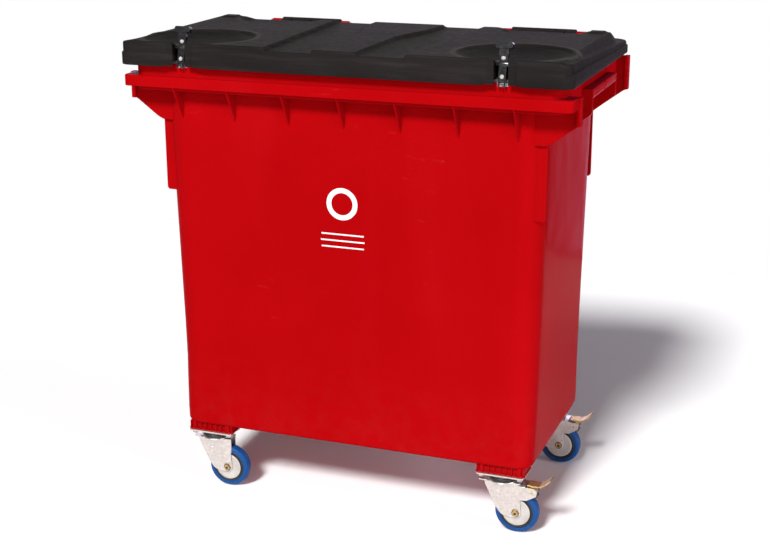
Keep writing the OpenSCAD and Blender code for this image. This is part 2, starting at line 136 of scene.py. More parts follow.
def red_plastic():
    m = Nodes("red_plastic")
    broad = m.noise(1.6, 3.0)
    cloud = m.noise(7.0, 5.0, 0.6)
    base = m.mix(m.ramp(broad, [(0.35, 0.0), (0.68, 1.0)]), (0.285, 0.0012, 0.0020), (0.33, 0.0016, 0.0030))
    base = m.mix(m.math("MULTIPLY", cloud, 0.35), base, (0.24, 0.0009, 0.0018))
    flow = m.noise(5.0, 3.0, 0.5, m.scaled((1.0, 1.0, 0.12)))
    base = m.mix(m.ramp(flow, [(0.55, 0.0), (0.75, 0.10)]), base, (0.45, 0.008, 0.014))
    low = m.math("SUBTRACT", 1.0, m.math("MULTIPLY", m.axis(2), 2.2), True)
    dust = m.math("MULTIPLY", low, m.ramp(m.noise(26.0, 6.0, 0.65), [(0.42, 0.0), (0.72, 0.30)]))
    base = m.mix(dust, base, (0.22, 0.02, 0.02))
    scratch = m.noise(60.0, 3.0, 0.5, m.scaled((0.25, 0.25, 1.8)), 0.4)
    scratch = m.ramp(scratch, [(0.68, 0.0), (0.73, 1.0)])
    marks = m.math("MULTIPLY", scratch, m.ramp(m.noise(3.1, 2.0), [(0.52, 0.0), (0.66, 0.34)]))
    base = m.mix(marks, base, (0.44, 0.03, 0.035))
    rough = m.math("ADD", m.math("MULTIPLY", cloud, 0.10), 0.12)
    rough = m.math("ADD", rough, m.math("MULTIPLY", marks, 0.5), True)
    grain = m.noise(520.0, 2.0, 0.5)
    m.surface(Base_Color=base, Roughness=rough, Specular_IOR_Level=0.0022,
              Specular_Tint=(0.80, 0.42, 1.0, 1.0), Sheen_Weight=0.02, Sheen_Roughness=0.3,
              Sheen_Tint=(0.60, 0.30, 1.0, 1.0))
    m.bump([(m.noise(4.0, 2.0), 0.22, 0.012), (m.noise(38.0, 2.0), 0.12, 0.0012), (grain, 0.16, 0.00025)])
    return m.mat


def lid_plastic():
    m = Nodes("charcoal_plastic")
    broad = m.noise(2.4, 4.0)
    base = m.mix(m.ramp(broad, [(0.35, 0.0), (0.7, 1.0)]), (0.0105, 0.0088, 0.0086), (0.0150, 0.0125, 0.0120))
    streak = m.noise(46.0, 4.0, 0.6, m.scaled((0.10, 1.0, 1.6)))
    base = m.mix(m.ramp(streak, [(0.48, 0.0), (0.72, 0.6)]), base, (0.026, 0.022, 0.021))
    speck = m.ramp(m.noise(210.0, 3.0, 0.7), [(0.62, 0.0), (0.74, 0.45)])
    base = m.mix(speck, base, (0.034, 0.030, 0.028))
    scuff = m.ramp(m.noise(44.0, 5.0, 0.7, m.scaled((0.5, 1.6, 1.0)), 1.2), [(0.60, 0.0), (0.72, 0.4)])
    scuff = m.math("MULTIPLY", scuff, m.ramp(m.noise(3.3), [(0.5, 0.0), (0.66, 0.6)]))
    base = m.mix(scuff, base, (0.050, 0.045, 0.041))
    # painted shade darkens the two finger dishes and the hollows by the knuckles; a painted highlight makes the lips of
    # the dishes paler
    ax, y = m.math("ABSOLUTE", m.axis(0)), m.axis(1)

    def radius(cx, cy):
        dx, dy = m.math("SUBTRACT", ax, cx), m.math("SUBTRACT", y, cy)
        return m.math("SQRT", m.math("ADD", m.math("MULTIPLY", dx, dx), m.math("MULTIPLY", dy, dy)))

    dish, hollow = radius(0.449, -0.238), radius(0.405, 0.215)
    # painted shade: darker colour inside the finger dishes and the knuckle hollows, on the top only
    painted_pit_shade = m.math("MAXIMUM", m.ramp(dish, [(0.118, 0.72), (0.152, 0.0)]), m.ramp(hollow, [(0.095, 0.60), (0.135, 0.0)]))
    on_top = m.math("GREATER_THAN", m.axis(2), 1.3005)
    front = m.math("GREATER_THAN", y, -0.3665)
    on_top = m.math("MULTIPLY", on_top, front)
    base = m.mix(m.math("MULTIPLY", painted_pit_shade, on_top), base, (0.0030, 0.0026, 0.0026))
    # painted highlight: a paler ring along the lips of the finger dishes
    painted_lip_highlight = m.ramp(dish, [(0.150, 0.0), (0.160, 0.8), (0.172, 0.0)])
    painted_lip_highlight = m.math("MULTIPLY", painted_lip_highlight, m.ramp(m.noise(90.0, 5.0, 0.7), [(0.35, 0.25), (0.62, 1.0)]))
    base = m.mix(m.math("MULTIPLY", painted_lip_highlight, on_top), base, (0.058, 0.052, 0.048))
    rough = m.math("ADD", m.math("MULTIPLY", m.noise(60.0, 4.0), 0.22), 0.42)
    m.surface(Base_Color=base, Roughness=rough, Specular_IOR_Level=0.018)
    m.bump([(m.noise(5.0, 2.0), 0.2, 0.006), (m.cells(460.0), 0.22, 0.0004), (m.noise(900.0, 2.0), 0.2, 0.0002)])
    return m.mat


def latch_rubber():
    m = Nodes("latch_rubber")
    base = m.mix(m.ramp(m.noise(30.0, 4.0), [(0.4, 0.0), (0.7, 1.0)]), (0.008, 0.008, 0.009), (0.020, 0.020, 0.021))
    base = m.mix(m.ramp(m.noise(240.0, 4.0, 0.7), [(0.62, 0.0), (0.72, 0.4)]), base, (0.07, 0.07, 0.072))
    rough = m.math("ADD", m.math("MULTIPLY", m.noise(90.0, 3.0), 0.22), 0.12)
    m.surface(Base_Color=base, Roughness=rough, Specular_IOR_Level=0.6, Coat_Weight=0.35, Coat_Roughness=0.12)
    m.bump([(m.noise(150.0, 3.0), 0.18, 0.0006), (m.noise(900.0, 2.0), 0.12, 0.0002)])
    return m.mat


def seal_rubber():
    m = Nodes("seal_rubber")
    base = m.mix(m.noise(60.0, 4.0), (0.035, 0.035, 0.038), (0.085, 0.085, 0.088))
    m.surface(Base_Color=base, Roughness=m.math("ADD", m.math("MULTIPLY", m.noise(200.0), 0.2), 0.6))
    m.bump([(m.noise(420.0, 3.0), 0.3, 0.0004)])
    return m.mat


def bright_zinc(name, tint_a, tint_b, spangle):
    m = Nodes(name)
    patch = m.cells(spangle)
    base = m.mix(m.ramp(patch, [(0.1, 0.0), (0.8, 1.0)]), tint_a, tint_b)
    stain = m.ramp(m.noise(85.0, 5.0, 0.65), [(0.56, 0.0), (0.72, 0.5)])
    base = m.mix(stain, base, (0.40, 0.36, 0.31))
    rough = m.math("ADD", m.math("MULTIPLY", m.noise(140.0, 4.0), 0.24), 0.20)
    brush = m.noise(320.0, 2.0, 0.5, m.scaled((1.0, 1.0, 0.08)))
    m.surface(Base_Color=base, Metallic=0.92, Roughness=rough)
    m.bump([(brush, 0.10, 0.0003), (m.noise(620.0, 3.0), 0.14, 0.0002)])
    return m.mat


def yellow_zinc():
    m = Nodes("yellow_zinc")
    hue = m.ramp(m.noise(55.0, 3.0, 0.5, None, 1.5), [
        (0.30, (0.46, 0.29, 0.09)), (0.48, (0.62, 0.46, 0.20)), (0.60, (0.42, 0.28, 0.16)), (0.74, (0.38, 0.31, 0.15))])
    dirt = m.ramp(m.noise(170.0, 5.0, 0.7), [(0.58, 0.0), (0.74, 0.6)])
    base = m.mix(dirt, hue, (0.22, 0.16, 0.08))
    m.surface(Base_Color=base, Metallic=0.9, Roughness=m.math("ADD", m.math("MULTIPLY", m.noise(210.0), 0.26), 0.28))
    m.bump([(m.noise(520.0, 3.0), 0.16, 0.0002)])
    return m.mat


def tyre_blue():
    m = Nodes("tyre_blue")
    base = m.mix(m.noise(36.0, 4.0), (0.002, 0.036, 0.145), (0.003, 0.060, 0.215))
    grime = m.ramp(m.noise(110.0, 6.0, 0.7), [(0.52, 0.0), (0.74, 0.55)])
    base = m.mix(grime, base, (0.04, 0.06, 0.10))
    rough = m.math("ADD", m.math("MULTIPLY", m.noise(150.0), 0.25), 0.36)
    m.surface(Base_Color=base, Roughness=rough, Specular_IOR_Level=0.16)
    m.bump([(m.noise(700.0, 3.0), 0.25, 0.0003), (m.noise(70.0, 2.0), 0.12, 0.0006)])
    return m.mat


def plain_plastic(name, a, b, rough, speck):
    m = Nodes(name)
    base = m.mix(m.ramp(m.noise(22.0, 4.0), [(0.35, 0.0), (0.7, 1.0)]), a, b)
    base = m.mix(m.ramp(m.noise(190.0, 5.0, 0.7), [(0.58, 0.0), (0.75, 0.5)]), base, speck)
    m.surface(Base_Color=base, Roughness=m.math("ADD", m.math("MULTIPLY", m.noise(120.0), 0.2), rough))
    m.bump([(m.noise(600.0, 3.0), 0.2, 0.0002), (m.noise(60.0, 2.0), 0.1, 0.0008)])
    return m.mat


MAT = {
    "tub": red_plastic(),
    "lid": lid_plastic(),
    "latch": latch_rubber(),
    "seal": seal_rubber(),
    "steel": bright_zinc("steel_zinc", (0.42, 0.42, 0.43), (0.56, 0.56, 0.57), 240.0),
    "zinc": bright_zinc("bright_zinc", (0.60, 0.565, 0.53), (0.72, 0.68, 0.645), 110.0),
    "yellow_zinc": yellow_zinc(),
    "tyre": tyre_blue(),
    "black_plastic": plain_plastic("black_plastic", (0.003, 0.003, 0.0035), (0.009, 0.009, 0.010), 0.42,
                                   (0.035, 0.034, 0.033)),
    "white_plastic": plain_plastic("white_plastic", (0.36, 0.335, 0.31), (0.44, 0.415, 0.39), 0.30, (0.22, 0.20, 0.18)),
}
PRINT_WHITE = plain_plastic("print_white", (0.66, 0.64, 0.63), (0.74, 0.72, 0.71), 0.45, (0.60, 0.42, 0.40))
SLOT_OF = {s["node"]: s["material_slot"] for s in frame["record"]["subparts"]}

# ---- Mesh building, in millimetres ------------------------------------------


def place(name, verts, faces, body, slot, bevel=0.0, segs=3, angle=32.0, stands=(), mat=None):
    mesh = bpy.data.meshes.new(name)
    mesh.from_pydata([Vector(v) * MM for v in verts], [], faces)
    bm = bmesh.new()
    bm.from_mesh(mesh)
    bmesh.ops.remove_doubles(bm, verts=bm.verts, dist=1e-6)
    bmesh.ops.recalc_face_normals(bm, faces=bm.faces)
    bm.to_mesh(mesh)
    bm.free()
    obj = bpy.data.objects.new(name, mesh)
    scene.collection.objects.link(obj)
    mesh.materials.append(mat or MAT[slot])
    mesh.shade_smooth()
    if bevel:
        round_edges(obj, bevel, segs)
    else:
        mesh.set_sharp_from_angle(angle=math.radians(angle))
    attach(obj, body)
    if stands:
        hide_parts(*stands)
    return obj


def round_edges(obj, width, segs=3, limit=28.0):
    mod = obj.modifiers.new("edges", "BEVEL")
    mod.width = width * MM
    mod.segments = segs
    mod.limit_method = "ANGLE"
    mod.angle_limit = math.radians(limit)
    mod.harden_normals = True
    mod.use_clamp_overlap = True


def join(parts):
    """Several (verts, faces) as one."""
    verts, faces = [], []
    for v, f in parts:
        base = len(verts)
        verts += v
        faces += [tuple(i + base for i in face) for face in f]
    return verts, faces


def loft(rings, close_path=False):
    """Skins closed rings of equal length. The ends are capped unless the path of rings closes too."""
    n, count = len(rings[0]), len(rings)
    verts = [p for ring in rings for p in ring]
    faces = []
    for i in range(count if close_path else count - 1):
        j = (i + 1) % count
        for k in range(n):
            m = (k + 1) % n
            faces.append((i * n + k, i * n + m, j * n + m, j * n + k))
    if not close_path:
        faces.append(tuple(reversed(range(n))))
        faces.append(tuple(range((count - 1) * n, count * n)))
    return verts, faces


def prism(outline, axis, a, b):
    """Outline drawn in the two other axes, in order, pushed along axis from a to b."""
    def at(p, t):
        q = list(p)
        q.insert(axis, t)
        return tuple(q)
    return loft([[at(p, a) for p in outline], [at(p, b) for p in outline]])


def block(x0, x1, y0, y1, z0, z1):
    return prism([(x0, y0), (x1, y0), (x1, y1), (x0, y1)], 2, z0, z1)


def rounded(points, radius, steps=5):
    """The outline with each corner rounded. radius is one number or one for each corner."""
    out, n = [], len(points)
    for i, p in enumerate(points):
        r = radius[i] if isinstance(radius, (list, tuple)) else radius
        a, b = Vector(points[i - 1]), Vector(points[(i + 1) % n])
        p = Vector(p)
        u, w = (a - p), (b - p)
        if r <= 0 or u.length < 1e-6 or w.length < 1e-6:
            out.append(tuple(p))
            continue
        reach = min(r, u.length * 0.45, w.length * 0.45)
        s, e = p + u.normalized() * reach, p + w.normalized() * reach
        for k in range(steps + 1):
            t = k / steps
            out.append(tuple((1 - t) ** 2 * s + 2 * t * (1 - t) * p + t * t * e))
    return out


def lathe(profile, centre, axis, steps=72):
    """Turns (radius, along) points about an axis through centre."""
    rings = []
    for k in range(steps):
        t = 2 * math.pi * k / steps
        ring = []
        for r, s in profile:
            p = [r * math.cos(t), r * math.sin(t)]
            p.insert(axis, s)
            ring.append(tuple(centre[i] + p[i] for i in range(3)))
        rings.append(ring)
    return loft(rings, close_path=True)


def rod(radius, centre, axis, a, b, chamfer=0.6, steps=40):
    c = min(chamfer, radius * 0.4)
    return lathe([(0.01, a), (radius - c, a), (radius - c * 0.3, a + c * 0.3), (radius, a + c),
                  (radius, b - c), (radius - c * 0.3, b - c * 0.3), (radius - c, b), (0.01, b)], centre, axis, steps)


def mirrored(part):
    verts, faces = part
    return [(-x, y, z) for x, y, z in verts], [tuple(reversed(f)) for f in faces]


def flipped(part):
    verts, faces = part
    return [(x, -y, z) for x, y, z in verts], [tuple(reversed(f)) for f in faces]


def both(part):
    return [part, mirrored(part)]


def plan_ring(hx, y0, y1, r, z, corner=14, along_long=26, along_short=14):
    """Rounded rectangle as a ring."""
    pts = []
    corners = [(hx, y0, r, -90), (hx, y1, r, 0), (-hx, y1, r, 90), (-hx, y0, r, 180)]
    for i, (cx, cy, rad, start) in enumerate(corners):
        ox = cx - math.copysign(rad, cx)
        oy = cy + rad if cy == y0 else cy - rad
        for k in range(corner + 1):
            t = math.radians(start + 90 * k / corner)
            pts.append((ox + rad * math.cos(t), oy + rad * math.sin(t)))
        nx, ny, nrad, nstart = corners[(i + 1) % 4]
        ex = nx - math.copysign(nrad, nx) + nrad * math.cos(math.radians(nstart))
        ey = (ny + nrad if ny == y0 else ny - nrad) + nrad * math.sin(math.radians(nstart))
        sx, sy = pts[-1]
        count = along_short if i % 2 == 0 else along_long
        for k in range(1, count):
            pts.append((sx + (ex - sx) * k / count, sy + (ey - sy) * k / count))
    return [(x, y, z) for x, y in pts]


def mixed(a, b, t):
    return a + (b - a) * t


def smooth(t):
    t = max(0.0, min(1.0, t))
    return t * t * (3 - 2 * t)


# ---- Tub ---------------------------------------------------------------------

LATCH_X = 449            # each latch, from the middle
CASTOR_X, CASTOR_Y = 444, 247
AXLE = (43, 0, 62.5)     # from the castor's swivel axis

BASE_Z, SHOULDER, TOP = 200.0, 1206.0, 1276.0
WALL = 5.0


def half_x(z):
    return mixed(529.0, 547.0, (z - BASE_Z) / (SHOULDER - BASE_Z))


def half_y(z):
    return mixed(290.0, 304.0, (z - BASE_Z) / (SHOULDER - BASE_Z))


def wall_ring(z, inset, at=None):
    hx, hy = half_x(z) - inset, half_y(z) - inset
    corner = 50 + 20 * smooth((z - 205) / 260)
    return plan_ring(hx, -hy, hy, max(corner - inset, 6.0), z if at is None else at)


def collar_ring(z, inset):
    return plan_ring(604 - inset, -349 + inset, 322 - inset, max(40.0 - inset, 6.0), z)


def between(z, t):
    """Ring between the wall (t = 0) and the collar (t = 1)."""
    a, b = wall_ring(1201, 0, z), collar_ring(z, 0)
    return [tuple(mixed(p[i], q[i], t) for i in range(3)) for p, q in zip(a, b)]


def tub_shell():
    rings = [wall_ring(BASE_Z, 200), wall_ring(BASE_Z, 60)]
    for k in range(7):
        t = math.radians(90 * k / 6)
        rings.append(wall_ring(BASE_Z, 12 - 12 * math.sin(t), BASE_Z + 12 - 12 * math.cos(t)))
    for z in (240, 300, 400, 520, 640, 760, 880, 1000, 1090, 1150, 1180):
        rings.append(wall_ring(z, 0))
    for k in range(6):
        t = math.radians(90 * k / 5)
        rings.append(between(1193 + 8 * math.sin(t), 0.12 * (1 - math.cos(t))))
    rings += [between(1201, 0.6)]
    for k in range(5):
        t = math.radians(90 * k / 4)
        rings.append(collar_ring(1204 - 3 * math.cos(t), 3 - 3 * math.sin(t)))
    rings += [collar_ring(1225, 0), collar_ring(1250, 0)]
    for k in range(5):
        t = math.radians(90 * k / 4)
        rings.append(collar_ring(TOP - 2.4 + 2.4 * math.sin(t), 2.4 - 2.4 * math.cos(t)))
    rings += [collar_ring(TOP, WALL - 1.2), collar_ring(TOP - 1.2, WALL), collar_ring(1240, WALL)]
    rings += [collar_ring(1212, WALL), collar_ring(1208, WALL + 1.5), collar_ring(SHOULDER, WALL + 6)]
    inner, outer = wall_ring(SHOULDER, WALL - 3), collar_ring(SHOULDER, WALL + 6)
    for t in (0.5, 0.06):
        rings.append([tuple(mixed(p[i], q[i], t) for i in range(3)) for p, q in zip(inner, outer)])
    rings += [wall_ring(1203, WALL)]
    for z in (1150, 1000, 800, 600, 400, 260):
        rings.append(wall_ring(z, WALL))
    for k in range(6):
        t = math.radians(90 * k / 5)
        rings.append(wall_ring(BASE_Z + 5, WALL + 14 - 14 * math.cos(t), BASE_Z + WALL + 14 - 14 * math.sin(t)))
    rings += [wall_ring(BASE_Z + 5, 70, BASE_Z + 5), wall_ring(BASE_Z + 5, 200, BASE_Z + 5)]
    return loft(rings)


def lip_path(hx, y, r, yend, z):
    """Front half of a rounded outline, from the right side to the left."""
    pts = [(hx, yend), (hx, (yend + y + r) / 2)]
    for k in range(11):
        t = math.radians(-90 * k / 10)
        pts.append((hx - r + r * math.cos(t), y + r + r * math.sin(t)))
    right = list(pts)
    for k in range(1, 20):
        pts.append((mixed(hx - r, r - hx, k / 20), y))
    pts += [(-px, py) for px, py in reversed(right)]
    return [(px, py, z) for px, py in pts]


def comb_lip(outer_y, inner_y, yend):
    def out(d, z):
        return lip_path(632 - d, outer_y + d, 18 - d, yend, z)
    rings = [out(0.8, 1210), out(0, 1210.8), out(0, 1236.5)]
    for k in range(1, 5):
        t = math.radians(90 * k / 4)
        rings.append(out(3.5 - 3.5 * math.cos(t), 1236.5 + 3.5 * math.sin(t)))
    inner = lip_path(601, inner_y, 36, yend, 1240)
    rings += [inner, [(x, y, 1235) for x, y, z in inner], out(5, 1235), out(5, 1210.8), out(4.2, 1210)]
    columns = [[ring[k] for ring in rings] for k in range(len(rings[0]))]
    return loft(columns)


def lugs():
    parts = []
    for x0, x1 in ((246, 272), (470, 502)):
        head = [(356 + 13 * math.cos(math.radians(t)), 1302 + 13 * math.sin(math.radians(t)))
                for t in range(-60, 181, 12)]
        outline = [(320, 1262), (320, 1215), (324, 1213)] + head
        parts += both(prism(outline, 0, x0, x1))
    return join(parts)


tub = place("tub_shell", *tub_shell(), "tub", "tub", stands=("tub",), angle=40)
place("tub_lip_front", *comb_lip(-358, -347, -293.5), "tub", "tub", angle=40)
place("tub_lip_rear", *flipped(comb_lip(-331, -320, -293.5)), "tub", "tub", angle=40)

ribs = []
for i in range(7):
    x = (i - 3) * 160.0
    outline = [(-357, 1238), (-357, 1211), (-303.5, 1118), (-300, 1117), (-300, 1203), (-346, 1203), (-346, 1238)]
    ribs.append(prism(outline, 0, x - 2, x + 2))
place("tub_ribs", *join(ribs), "tub", "tub", bevel=0.9)


def ear(top, tail):
    # nothing of it stands inside the collar or the tub
    plate = rounded([(601, top), (640, top), (640, 1167), (628, 1163), (563, 1115), (546, 1108),
                     (516.6, 1108), (516.6, 1203), (601, 1203)], [0, 3, 3, 6, 10, 4, 0, 0, 0])
    parts = [prism(plate, 1, 283, 290), block(627, 640, 280, 300, 1166, top)]
    strip = rounded([(526, 1118), (tail, 1118), (tail, 912), (tail - 5, 906), (519.3, 906)], [0, 0, 5, 4, 0])
    parts.append(prism(strip, 1, 274, 281))
    return join(parts)


for side, top, tail in ((1, 1263, 543), (-1, 1240, 551)):
    e = ear(top, tail)
    e = e if side > 0 else flipped(e)
    label = "rear" if side > 0 else "front"
    place(f"tub_ear_{label}_right", *e, "tub", "tub", bevel=1.6)
    place(f"tub_ear_{label}_left", *mirrored(e), "tub", "tub", bevel=1.6)


def side_handle():
    arm = rounded([(601, 1236), (634, 1236), (634, 1173), (563, 1118), (541.5, 1110), (541.5, 1203), (601, 1203)],
                  [0, 4, 8, 6, 0, 0, 0])
    parts = [prism(arm, 1, y - 3.5, y + 3.5) for y in (-143, 143)]
    bar = rounded([(616, 1212), (634, 1212), (634, 1236), (616, 1236)], 4.5)
    parts.append(prism(bar, 1, -143, 143))
    parts.append(block(626, 635, -3, 3, 1211.5, 1236.6))
    for y in (-255, -225, -195, 195, 225, 255):
        parts.append(prism([(541, 1203), (603, 1203), (603, 1192), (543, 1145)], 1, y - 2, y + 2))
    return join(parts)


h = side_handle()
place("tub_handle_right", *h, "tub", "tub", bevel=1.2)
place("tub_handle_left", *mirrored(h), "tub", "tub", bevel=1.2)
place("tub_hinge_lugs", *lugs(), "tub", "tub", bevel=1.8)

pads = []
for sx in (-1, 1):
    for sy in (-1, 1):
        cx, cy = CASTOR_X * sx, CASTOR_Y * sy
        pads.append(block(cx - 68, cx + 68, cy - 30, cy + 30, 178.2, 204))
        for dx in (-54, 54):
            for dy in (-30, 30):
                pads.append(rod(6.3, (cx + dx, cy + dy, 0), 2, 178.2, 203, 0.5, 28))
        for k in range(9):
            rx = cx - 66 + 16.5 * k
            pads.append(block(rx - 1.6, rx + 1.6, cy - 36, cy + 36, 178, 203))
        pads.append(block(cx - 70, cx + 70, cy - 36, cy + 36, 178, 182))
place("tub_pads", *join(pads), "tub", "tub", bevel=0.8)

# ---- Lid ---------------------------------------------------------------------

LHX, LY0, LY1 = 633.0, -374.0, 345.0
LR = (30.0, 60.0)
ROUND = 7.0


def lid_height(x, y):
    """Height of the lid's top surface."""
    ax = abs(x)
    z = 1336.0
    # end fields stand above the two valleys; a centre band widens to the rear
    inner = 197 + 0.055 * (y + 374)
    band = 59 + 45 * smooth((y + 90) / 250)
    valley = smooth((ax - band) / 5) * smooth((inner - ax) / 5)
    z -= 9.5 * valley
    z += 1.6 * smooth((ax - inner) / 5)
    # dished ring round each latch, closed before the front edge
    d = math.hypot(ax - LATCH_X, y + 238)
    bowl = (13.0 * max(0.0, 1 - (d / 152) ** 2) + 5.5 * smooth((152 - d) / 7)) * smooth((y + 373) / 26)
    z -= bowl
    lip = smooth(1 - abs(d - 161) / 12) * smooth(1 - abs(y + 205) / 105)
    z += 6.0 * lip
    # round hollow in front of each knuckle
    d = math.hypot(ax - 405, y - 215)
    z -= 13.0 * smooth((138 - d) / 34)
    # rear slope
    z = min(z, mixed(1337.0, 1303.0, smooth((y - 205) / 92)))
    # strips along the ends fall towards the rear
    strip = mixed(1333.0, 1306.0, max(0.0, min(1.0, (y + 374) / 640)))
    z = mixed(z, min(z, strip), smooth((ax - 597) / 14) * (1 - lip))
    # raised blocks at the rear corners of the end fields
    z += 4.0 * smooth((26 - abs(ax - 566)) / 8) * smooth((26 - abs(y - 188)) / 8)
    return min(z, 1343.5)


def lid_outline_x(y, hx, y0, y1, r):
    rf, rr = r
    if y < y0 + rf:
        return hx - rf + math.sqrt(max(rf * rf - (y0 + rf - y) ** 2, 0.0))
    if y > y1 - rr:
        return hx - rr + math.sqrt(max(rr * rr - (y - y1 + rr) ** 2, 0.0))
    return hx


def spread(lo, hi, step, ends, end_steps):
    """Even steps, closer together over the last stretch at each end."""
    out = [lo + ends * (1 - math.cos(math.radians(90 * k / end_steps))) for k in range(end_steps)]
    n = int(round((hi - lo - 2 * ends) / step))
    out += [mixed(lo + ends, hi - ends, k / n) for k in range(n + 1)]
    out += [hi - ends * (1 - math.cos(math.radians(90 * (end_steps - 1 - k) / end_steps))) for k in range(end_steps)]
    return out


def lid_solid():
    hx, y0, y1 = LHX - ROUND, LY0 + ROUND, LY1 - ROUND
    r = (LR[0] - ROUND, LR[1] - ROUND)
    us = [k / 150 for k in range(-150, 151)]
    vs = spread(y0, y1, 4.3, 54, 14)
    nu, nv = len(us), len(vs)
    top = []
    for v in vs:
        w = lid_outline_x(v, hx, y0, y1, r)
        for u in us:
            x = u * w
            top.append((x, v, lid_height(x, v)))
    verts, faces = list(top), []
    for j in range(nv - 1):
        for i in range(nu - 1):
            a = j * nu + i
            faces.append((a, a + 1, a + 1 + nu, a + nu))
    loop = [i for i in range(nu)] + [j * nu + nu - 1 for j in range(1, nv)]
    loop += [(nv - 1) * nu + i for i in range(nu - 2, -1, -1)] + [j * nu for j in range(nv - 2, 0, -1)]

    def normal(x, y):
        rr = r[0] if y < 0 else r[1]
        qx = max(-(hx - rr), min(hx - rr, x))
        qy = max(y0 + rr, min(y1 - rr, y))
        n = Vector((x - qx, y - qy))
        if n.length < 1e-5:
            n = Vector((0, -1)) if y < 0 else Vector((0, 1))
        return n.normalized()

    edge = [(verts[i], normal(verts[i][0], verts[i][1])) for i in loop]

    def shifted(d, zf, ledge=0.0):
        ring = []
        for (x, y, z), n in edge:
            s = 4.0 * (smooth((40 - abs(abs(x) - LATCH_X)) / 3) if y < -300 else 0.0) * smooth((d - 3) / 4)
            s += ledge * abs(n.x)
            ring.append((x + n.x * (d - s), y + n.y * (d - s), zf(x, y, z)))
        return ring

    rings = []
    for k in range(1, 7):
        t = math.radians(90 * k / 6)
        out = ROUND * math.sin(t) - 1.5 * math.sin(t)
        rings.append(shifted(out, lambda x, y, z, t=t: z - ROUND * (1 - math.cos(t)), 3.0 * math.sin(t)))

    def crease(x, y, z):
        return min(z - 9, 1303 - 12 * smooth((y + 350) / 600))

    rings.append(shifted(ROUND - 1.3, lambda x, y, z: crease(x, y, z) + 2.6, 3.0))
    rings.append(shifted(ROUND - 0.2, lambda x, y, z: crease(x, y, z)))

    def foot(x, y, z):
        return 1270.3 + (2.6 * smooth((62 - abs(abs(x) - LATCH_X)) / 22) if y < -300 else 0.0)

    rings.append(shifted(ROUND, lambda x, y, z: 1285.0))
    rings.append(shifted(ROUND, lambda x, y, z: foot(x, y, z) + 2.0))
    rings.append(shifted(ROUND - 0.8, lambda x, y, z: foot(x, y, z) + 0.5))
    rings.append(shifted(ROUND - 1.8, foot))
    rings.append(shifted(ROUND - 4.5, foot))
    rings.append(shifted(ROUND - 5.2, lambda x, y, z: foot(x, y, z) + 0.7))
    rings.append(shifted(ROUND - 5.2, lambda x, y, z: z - 14))
    n = len(loop)
    previous = loop
    for ring in rings:
        base = len(verts)
        verts += ring
        for k in range(n):
            m = (k + 1) % n
            faces.append((previous[k], previous[m], base + m, base + k))
        previous = list(range(base, base + n))
    base = len(verts)
    verts += [(x * 0.997, y * 0.997, z - 5.0) for x, y, z in top]
    for j in range(nv - 1):
        for i in range(nu - 1):
            a = base + j * nu + i
            faces.append((a + nu, a + 1 + nu, a + 1, a))
    for k in range(n):
        m = (k + 1) % n
        faces.append((previous[k], previous[m], base + loop[m], base + loop[k]))
    return verts, faces


def cut(obj, part):
    """Takes a closed shape out of obj, for good."""
    verts, faces = part
    mesh = bpy.data.meshes.new("cutter")
    mesh.from_pydata([Vector(v) * MM for v in verts], [], faces)
    bm = bmesh.new()
    bm.from_mesh(mesh)
    bmesh.ops.recalc_face_normals(bm, faces=bm.faces)
    bm.to_mesh(mesh)
    bm.free()
    cutter = bpy.data.objects.new("cutter", mesh)
    scene.collection.objects.link(cutter)
    mod = obj.modifiers.new("cut", "BOOLEAN")
    mod.operation = "DIFFERENCE"
    mod.solver = "EXACT"
    mod.object = cutter
    dg = bpy.context.evaluated_depsgraph_get()
    fresh = bpy.data.meshes.new_from_object(obj.evaluated_get(dg))
    obj.modifiers.remove(mod)
    obj.data = fresh
    bpy.data.objects.remove(cutter)


lid = place("lid_top", *lid_solid(), "lid", "lid", stands=("lid",), angle=50)
cuts = []
for s in (-1, 1):
    slot = [(-380, 1260), (-344, 1260), (-344, 1288), (-316, 1288), (-316, 1350), (-380, 1350)]
    cuts.append(prism(slot, 0, LATCH_X * s - 19, LATCH_X * s + 19))
    for x0, x1 in ((245, 273), (469, 503)):
        cuts.append(block(min(s * x0, s * x1), max(s * x0, s * x1), 326, 390, 1260, 1350))
cut(lid, join(cuts))
lid.data.shade_smooth()
lid.data.set_sharp_from_angle(angle=math.radians(38))

trim = []
for s in (-1, 1):
    c = LATCH_X * s
    trim.append(block(c - 23.5, c + 23.5, -316, -312, 1284, 1326))
    trim.append(block(c - 23.5, c - 19, -369, -313, 1284, 1326))
    trim.append(block(c + 19, c + 23.5, -369, -313, 1284, 1326))
    trim.append(block(c - 19.5, c + 19.5, -344, -314, 1284, 1288))
place("lid_latch_pockets", *join(trim), "lid", "lid", bevel=1.0)

knuckles = []
barrel = [(7.2, 274), (16, 274), (18, 276), (18, 466), (16, 468), (7.2, 468)]
web = rounded([(333, 1288), (356, 1285), (356, 1318), (345, 1316), (333, 1306)], [0, 0, 0, 6, 0])
for part in (lathe(barrel, (0, 356, 1302), 0, 56), prism(web, 0, 276, 466)):
    knuckles += both(part)
for x in (308, 371, 434):
    knuckles += both(prism([(306, 1301), (356, 1301), (356, 1319), (336, 1317)], 0, x - 3, x + 3))
place("lid_knuckles", *join(knuckles), "lid", "lid", bevel=0.8)

# ---- Latches -----------------------------------------------------------------


LEAN = math.radians(14)
KEEPER = (-359.5, 1271.0)


def leaning(part):
    """Shapes drawn upright over the keeper, leant back to where the closed latch lies."""
    verts, faces = part
    c, t = math.cos(LEAN), math.sin(LEAN)
    return [(x, KEEPER[0] + y * c + z * t, KEEPER[1] - y * t + z * c) for x, y, z in verts], faces


